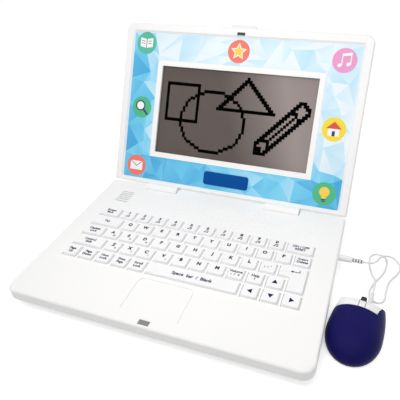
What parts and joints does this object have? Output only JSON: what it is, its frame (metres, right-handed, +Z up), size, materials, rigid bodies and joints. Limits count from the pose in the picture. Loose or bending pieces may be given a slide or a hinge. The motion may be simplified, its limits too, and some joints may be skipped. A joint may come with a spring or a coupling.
{
  "type": "toy laptop computer",
  "caption": "White folding toy laptop with a printed screen surround, a grey display, a full keyboard of moving keys and a small corded mouse plugged into its side.",
  "frame": {"origin": "middle of the base's footprint, on the surface that it stands on", "axes": "+Z up, +Y towards the hinge at the rear, +X towards the mouse at the user's right hand"},
  "size_m": [0.3394, 0.2889, 0.1882],
  "materials": {
    "white_plastic": "satin-gloss white moulded plastic",
    "key_plastic": "satin white moulded plastic, legends printed",
    "navy_plastic": "gloss navy moulded plastic",
    "white_vinyl": "matt flexible vinyl",
    "grey_rubber": "matt rubber",
    "black_plastic": "matt black plastic",
    "steel": "plated steel",
    "magnet": "dark coated magnet",
    "circuit_board": "green solder mask",
    "battery_wrap": "plain dark wrap",
    "printed_film": "printed film, blue facets",
    "clear_window": "clear acrylic",
    "display_grey": "grey liquid-crystal panel"
  },
  "bodies": {
    "base": {"main_board": "circuit_board", "key_membrane": "grey_rubber", "base_top_case": "white_plastic", "catch_plate": "steel", "hinge_pins": "steel", "speaker": "black_plastic", "mouse_socket": "black_plastic", "base_bottom_case": "white_plastic", "battery_door": "white_plastic", "battery_door_screw": "steel", "case_screws": "steel", "battery_cells": "battery_wrap", "battery_contacts": "steel", "rubber_feet": "grey_rubber"},
    "lid": {"lid_front_bezel": "white_plastic", "lid_magnet": "magnet", "lid_rear_cover": "white_plastic", "lid_screws": "steel", "printed_sheet": "printed_film", "screen_window": "clear_window", "display_module": "display_grey", "display_board": "circuit_board"},
    "mouse": {"mouse_wheel_pin": "steel", "mouse_palm_cover": "navy_plastic", "mouse_bottom_case": "white_plastic", "mouse_screw": "steel", "mouse_lens": "clear_window", "mouse_board": "circuit_board", "mouse_glide_pads": "black_plastic", "mouse_strain_relief": "white_vinyl", "plug_pin": "steel", "mouse_plug": "white_vinyl", "mouse_cord": "white_vinyl"},
    "mouse_left_button": {"mouse_left_button": "white_plastic"},
    "mouse_right_button": {"mouse_right_button": "white_plastic"},
    "mouse_wheel": {"mouse_wheel": "navy_plastic"},
    "level_key": {"level_key": "key_plastic"},
    "number_keys": {"number_keys": "key_plastic"},
    "power_key": {"power_key": "key_plastic"},
    "tab_key": {"tab_key": "key_plastic"},
    "upper_letter_keys": {"upper_letter_keys": "key_plastic"},
    "delete_key": {"delete_key": "key_plastic"},
    "caps_key": {"caps_key": "key_plastic"},
    "middle_letter_keys": {"middle_letter_keys": "key_plastic"},
    "punctuation_key": {"punctuation_key": "key_plastic"},
    "enter_key": {"enter_key": "key_plastic"},
    "shift_key": {"shift_key": "key_plastic"},
    "lower_letter_keys": {"lower_letter_keys": "key_plastic"},
    "volume_key": {"volume_key": "key_plastic"},
    "help_key": {"help_key": "key_plastic"},
    "up_arrow_key": {"up_arrow_key": "key_plastic"},
    "space_bar": {"space_bar": "key_plastic"},
    "left_arrow_key": {"left_arrow_key": "key_plastic"},
    "down_arrow_key": {"down_arrow_key": "key_plastic"},
    "right_arrow_key": {"right_arrow_key": "key_plastic"},
    "mode_key_1": {"mode_key_1": "key_plastic"},
    "mode_key_2": {"mode_key_2": "key_plastic"},
    "mode_key_3": {"mode_key_3": "key_plastic"},
    "mode_key_4": {"mode_key_4": "key_plastic"},
    "mode_key_5": {"mode_key_5": "key_plastic"}
  },
  "joints": [
    {"name": "lid_hinge", "type": "hinge", "parent": "base", "child": "lid", "pos_m": [0, 0.0915, 0.02], "axis": [1, 0, 0], "range_deg": [-15, 117.4]},
    {"name": "level_key_press", "type": "slide", "parent": "base", "child": "level_key", "axis": [0, 0, -1], "range_m": [0, 0.0018], "stiffness_N_per_m": 400},
    {"name": "number_keys_press", "type": "slide", "parent": "base", "child": "number_keys", "axis": [0, 0, -1], "range_m": [0, 0.0018], "stiffness_N_per_m": 400},
    {"name": "power_key_press", "type": "slide", "parent": "base", "child": "power_key", "axis": [0, 0, -1], "range_m": [0, 0.0018], "stiffness_N_per_m": 400},
    {"name": "tab_key_press", "type": "slide", "parent": "base", "child": "tab_key", "axis": [0, 0, -1], "range_m": [0, 0.0018], "stiffness_N_per_m": 400},
    {"name": "upper_letter_keys_press", "type": "slide", "parent": "base", "child": "upper_letter_keys", "axis": [0, 0, -1], "range_m": [0, 0.0018], "stiffness_N_per_m": 400},
    {"name": "delete_key_press", "type": "slide", "parent": "base", "child": "delete_key", "axis": [0, 0, -1], "range_m": [0, 0.0018], "stiffness_N_per_m": 400},
    {"name": "caps_key_press", "type": "slide", "parent": "base", "child": "caps_key", "axis": [0, 0, -1], "range_m": [0, 0.0018], "stiffness_N_per_m": 400},
    {"name": "middle_letter_keys_press", "type": "slide", "parent": "base", "child": "middle_letter_keys", "axis": [0, 0, -1], "range_m": [0, 0.0018], "stiffness_N_per_m": 400},
    {"name": "punctuation_key_press", "type": "slide", "parent": "base", "child": "punctuation_key", "axis": [0, 0, -1], "range_m": [0, 0.0018], "stiffness_N_per_m": 400},
    {"name": "enter_key_press", "type": "slide", "parent": "base", "child": "enter_key", "axis": [0, 0, -1], "range_m": [0, 0.0018], "stiffness_N_per_m": 400},
    {"name": "shift_key_press", "type": "slide", "parent": "base", "child": "shift_key", "axis": [0, 0, -1], "range_m": [0, 0.0018], "stiffness_N_per_m": 400},
    {"name": "lower_letter_keys_press", "type": "slide", "parent": "base", "child": "lower_letter_keys", "axis": [0, 0, -1], "range_m": [0, 0.0018], "stiffness_N_per_m": 400},
    {"name": "volume_key_press", "type": "slide", "parent": "base", "child": "volume_key", "axis": [0, 0, -1], "range_m": [0, 0.0018], "stiffness_N_per_m": 400},
    {"name": "help_key_press", "type": "slide", "parent": "base", "child": "help_key", "axis": [0, 0, -1], "range_m": [0, 0.0018], "stiffness_N_per_m": 400},
    {"name": "up_arrow_key_press", "type": "slide", "parent": "base", "child": "up_arrow_key", "axis": [0, 0, -1], "range_m": [0, 0.0018], "stiffness_N_per_m": 400},
    {"name": "space_bar_press", "type": "slide", "parent": "base", "child": "space_bar", "axis": [0, 0, -1], "range_m": [0, 0.0018], "stiffness_N_per_m": 400},
    {"name": "left_arrow_key_press", "type": "slide", "parent": "base", "child": "left_arrow_key", "axis": [0, 0, -1], "range_m": [0, 0.0018], "stiffness_N_per_m": 400},
    {"name": "down_arrow_key_press", "type": "slide", "parent": "base", "child": "down_arrow_key", "axis": [0, 0, -1], "range_m": [0, 0.0018], "stiffness_N_per_m": 400},
    {"name": "right_arrow_key_press", "type": "slide", "parent": "base", "child": "right_arrow_key", "axis": [0, 0, -1], "range_m": [0, 0.0018], "stiffness_N_per_m": 400},
    {"name": "mode_key_1_press", "type": "slide", "parent": "base", "child": "mode_key_1", "axis": [0, 0, -1], "range_m": [0, 0.0018], "stiffness_N_per_m": 400},
    {"name": "mode_key_2_press", "type": "slide", "parent": "base", "child": "mode_key_2", "axis": [0, 0, -1], "range_m": [0, 0.0018], "stiffness_N_per_m": 400},
    {"name": "mode_key_3_press", "type": "slide", "parent": "base", "child": "mode_key_3", "axis": [0, 0, -1], "range_m": [0, 0.0018], "stiffness_N_per_m": 400},
    {"name": "mode_key_4_press", "type": "slide", "parent": "base", "child": "mode_key_4", "axis": [0, 0, -1], "range_m": [0, 0.0018], "stiffness_N_per_m": 400},
    {"name": "mode_key_5_press", "type": "slide", "parent": "base", "child": "mode_key_5", "axis": [0, 0, -1], "range_m": [0, 0.0018], "stiffness_N_per_m": 400},
    {"name": "plug_pull", "type": "slide", "parent": "base", "child": "mouse", "axis": [1, 0, 0], "range_m": [0, 0.018]},
    {"name": "mouse_left_click", "type": "hinge", "parent": "mouse", "child": "mouse_left_button", "pos_m": [0.16578, -0.02016, 0.014], "axis": [-0.9914, 0.1305, 0], "range_deg": [0, 1.8], "stiffness_Nm_per_rad": 0.5},
    {"name": "mouse_right_click", "type": "hinge", "parent": "mouse", "child": "mouse_right_button", "pos_m": [0.16578, -0.02016, 0.014], "axis": [-0.9914, 0.1305, 0], "range_deg": [0, 1.8], "stiffness_Nm_per_rad": 0.5},
    {"name": "mouse_wheel_spin", "type": "hinge", "parent": "mouse", "child": "mouse_wheel", "pos_m": [0.16729, -0.00866, 0.0135], "axis": [0.9914, -0.1305, 0], "continuous": true}
  ]
}
